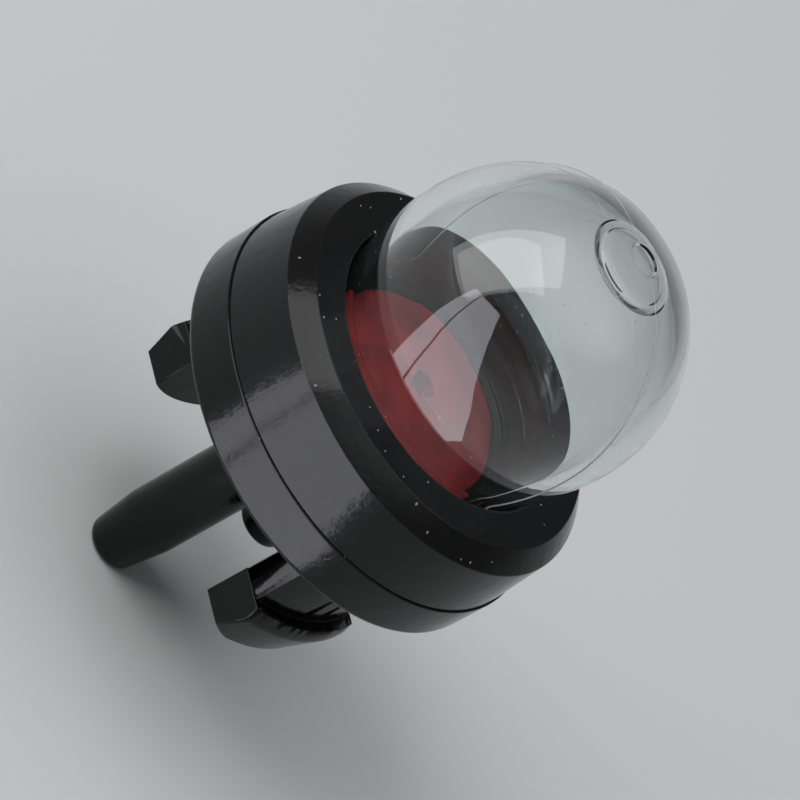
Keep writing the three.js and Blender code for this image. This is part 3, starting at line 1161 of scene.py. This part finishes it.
@dataclass(frozen=True)
class Softbox:
    """A rectangular light, given by the middles of its lower and upper edges.

    Places and directions are in the studio's frame: towards the camera, beside it, and up.
    Lengths are in millimetres. A card stands close to the part, so it shows only in reflections
    and lays no pool of light on the floor.
    """

    name: str
    low: tuple[float, float, float]
    high: tuple[float, float, float]
    across: tuple[float, float, float]
    width: float
    radiance: float
    shift: float = 0.0
    colour: str = "#ffffff"
    is_card: bool = False

    def build(self, turn: Matrix) -> bpy.types.Object:
        """Makes the light.

        Args:
            turn: rotation from the studio's frame to the part's.

        Returns:
            The light's object.
        """
        low, high = (turn @ Vector(place) * MM for place in (self.low, self.high))
        upward = (high - low).normalized()
        across = turn @ Vector(self.across)
        across = (across - upward * across.dot(upward)).normalized()
        data = bpy.data.lights.new(self.name, "AREA")
        data.shape = "RECTANGLE"
        data.size = self.width * MM
        data.size_y = (high - low).length
        data.energy = self.radiance * math.pi * data.size * data.size_y
        data.color = linear(self.colour)[:3]
        light = bpy.data.objects.new(self.name, data)
        facing = Matrix((across, upward, across.cross(upward))).transposed()
        place = (low + high) / 2 + across * self.shift * MM
        light.matrix_world = Matrix.Translation(place) @ facing.to_4x4()
        light.visible_camera = False
        light.visible_diffuse = not self.is_card
        light.visible_transmission = not self.is_card
        bpy.context.scene.collection.objects.link(light)
        return light


@dataclass
class Studio:
    """Camera at the photograph's angle, pale floor and soft light.

    The camera's angles come from the round edges in the photograph, in a frame of 800 by 800.
    """

    axis_tilt: float = 32.39
    axis_turn: float = 29.51
    hook_turn: float = 64.2
    distance: float = 240.0
    focal_pixels: float = 4840.8
    frame_pixels: float = 800.0
    shift_right: float = -2.80
    shift_up: float = -1.51
    sensor: float = 36.0
    ambient: float = 0.1
    horizon_light: float = 0.4
    horizon_low: float = 0.08
    horizon_high: float = 0.4
    overhead_light: float = 1.0
    overhead_low: float = 0.7
    overhead_high: float = 0.9
    floor_gap: float = 0.02

    def axes(self) -> Matrix:
        """Rotation from the camera's frame to the part's."""
        tilt, turn, hook = (math.radians(a) for a in (self.axis_tilt, self.axis_turn, self.hook_turn))
        up_axis = Vector((math.cos(tilt) * math.cos(turn), math.cos(tilt) * math.sin(turn), math.sin(tilt)))
        facing = (Vector((0, 0, 1)) - up_axis * math.sin(tilt)) / math.cos(tilt)
        beside = up_axis.cross(facing)
        x_axis = facing * math.cos(hook) + beside * math.sin(hook)
        y_axis = beside * math.cos(hook) - facing * math.sin(hook)
        return Matrix((x_axis, y_axis, up_axis))

    def add_camera(self) -> None:
        """Makes the camera."""
        data = bpy.data.cameras.new("photo_camera")
        data.sensor_width = self.sensor
        data.lens = self.focal_pixels * self.sensor / self.frame_pixels
        data.clip_start = 0.005
        data.clip_end = 20.0
        camera = bpy.data.objects.new("photo_camera", data)
        axes = self.axes()
        place = axes @ Vector((-self.shift_right, -self.shift_up, self.distance)) * MM
        camera.matrix_world = Matrix.Translation(place) @ axes.to_4x4()
        bpy.context.scene.collection.objects.link(camera)
        bpy.context.scene.camera = camera

    def add_lights(self) -> None:
        """Makes the softbox overhead and the pair of cards at the side."""
        turn = Matrix.Rotation(math.radians(-self.hook_turn), 3, "Z")
        side_low, side_high, side_across = (19.1, 13.3, -16.8), (61.1, -27.5, 35.4), (0.326, 0.853, 0.406)
        card = {"radiance": 4.2, "colour": "#f6f6ff", "is_card": True}
        boxes = (
            Softbox("top_softbox", (412, -592, 9.6), (92, -272, 666.4), (0.813, 0.567, 0.12), 472, 2.7),
            Softbox("wide_card", side_low, side_high, side_across, 21.3, **card),
            Softbox("narrow_card", side_low, side_high, side_across, 7.3, shift=-15.1, **card),
        )
        for box in boxes:
            box.build(turn)

    def add_room(self) -> None:
        """Makes the soft light of the room: brighter near the horizon and overhead than between."""
        world = bpy.data.worlds.new("soft_room")
        world.use_nodes = True
        tree = world.node_tree
        tree.nodes.clear()
        direction = add_node(tree, "ShaderNodeTexCoord").outputs["Generated"]
        height = add_node(tree, "ShaderNodeSeparateXYZ", vector=direction).outputs["Z"]
        level = add_node(
            tree,
            "ShaderNodeMapRange",
            in_0=height,
            in_1=self.horizon_low,
            in_2=self.horizon_high,
            in_3=self.horizon_light,
            in_4=self.ambient,
        )
        overhead = add_node(
            tree,
            "ShaderNodeMapRange",
            in_0=height,
            in_1=self.overhead_low,
            in_2=self.overhead_high,
            in_4=self.overhead_light,
        )
        both = add_node(tree, "ShaderNodeMath", {"operation": "ADD"}, in_0=level, in_1=overhead)
        glow = add_node(tree, "ShaderNodeBackground", color=linear("#f4f6f8"), strength=both)
        add_node(tree, "ShaderNodeOutputWorld", surface=glow)
        bpy.context.scene.world = world

    def add_floor(self) -> None:
        """Makes the pale floor under the longest nipple's tip."""
        low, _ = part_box("base_housing")
        mesh = bmesh.new()
        bmesh.ops.create_grid(mesh, x_segments=8, y_segments=8, size=2.0)
        bmesh.ops.translate(mesh, verts=mesh.verts, vec=(0, 0, low[2] - self.floor_gap * MM))
        floor = object_from("pale_floor", mesh)
        floor.data.materials.append(PaintedFloor("pale_paint").build())

    def build(self) -> None:
        """Makes the camera, the lights and the floor."""
        self.add_camera()
        self.add_lights()
        self.add_room()
        self.add_floor()
        bpy.context.scene.view_settings.view_transform = "Standard"


def main() -> None:
    """Loads the frame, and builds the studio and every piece."""
    logging.basicConfig(level=logging.INFO, format="%(name)s: %(message)s")
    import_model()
    Studio().build()
    for piece in (BaseHousing(), CombinationValve(), SqueezeBulb(), RetainingCap()):
        piece.build()


if __name__ == "__main__":
    main()
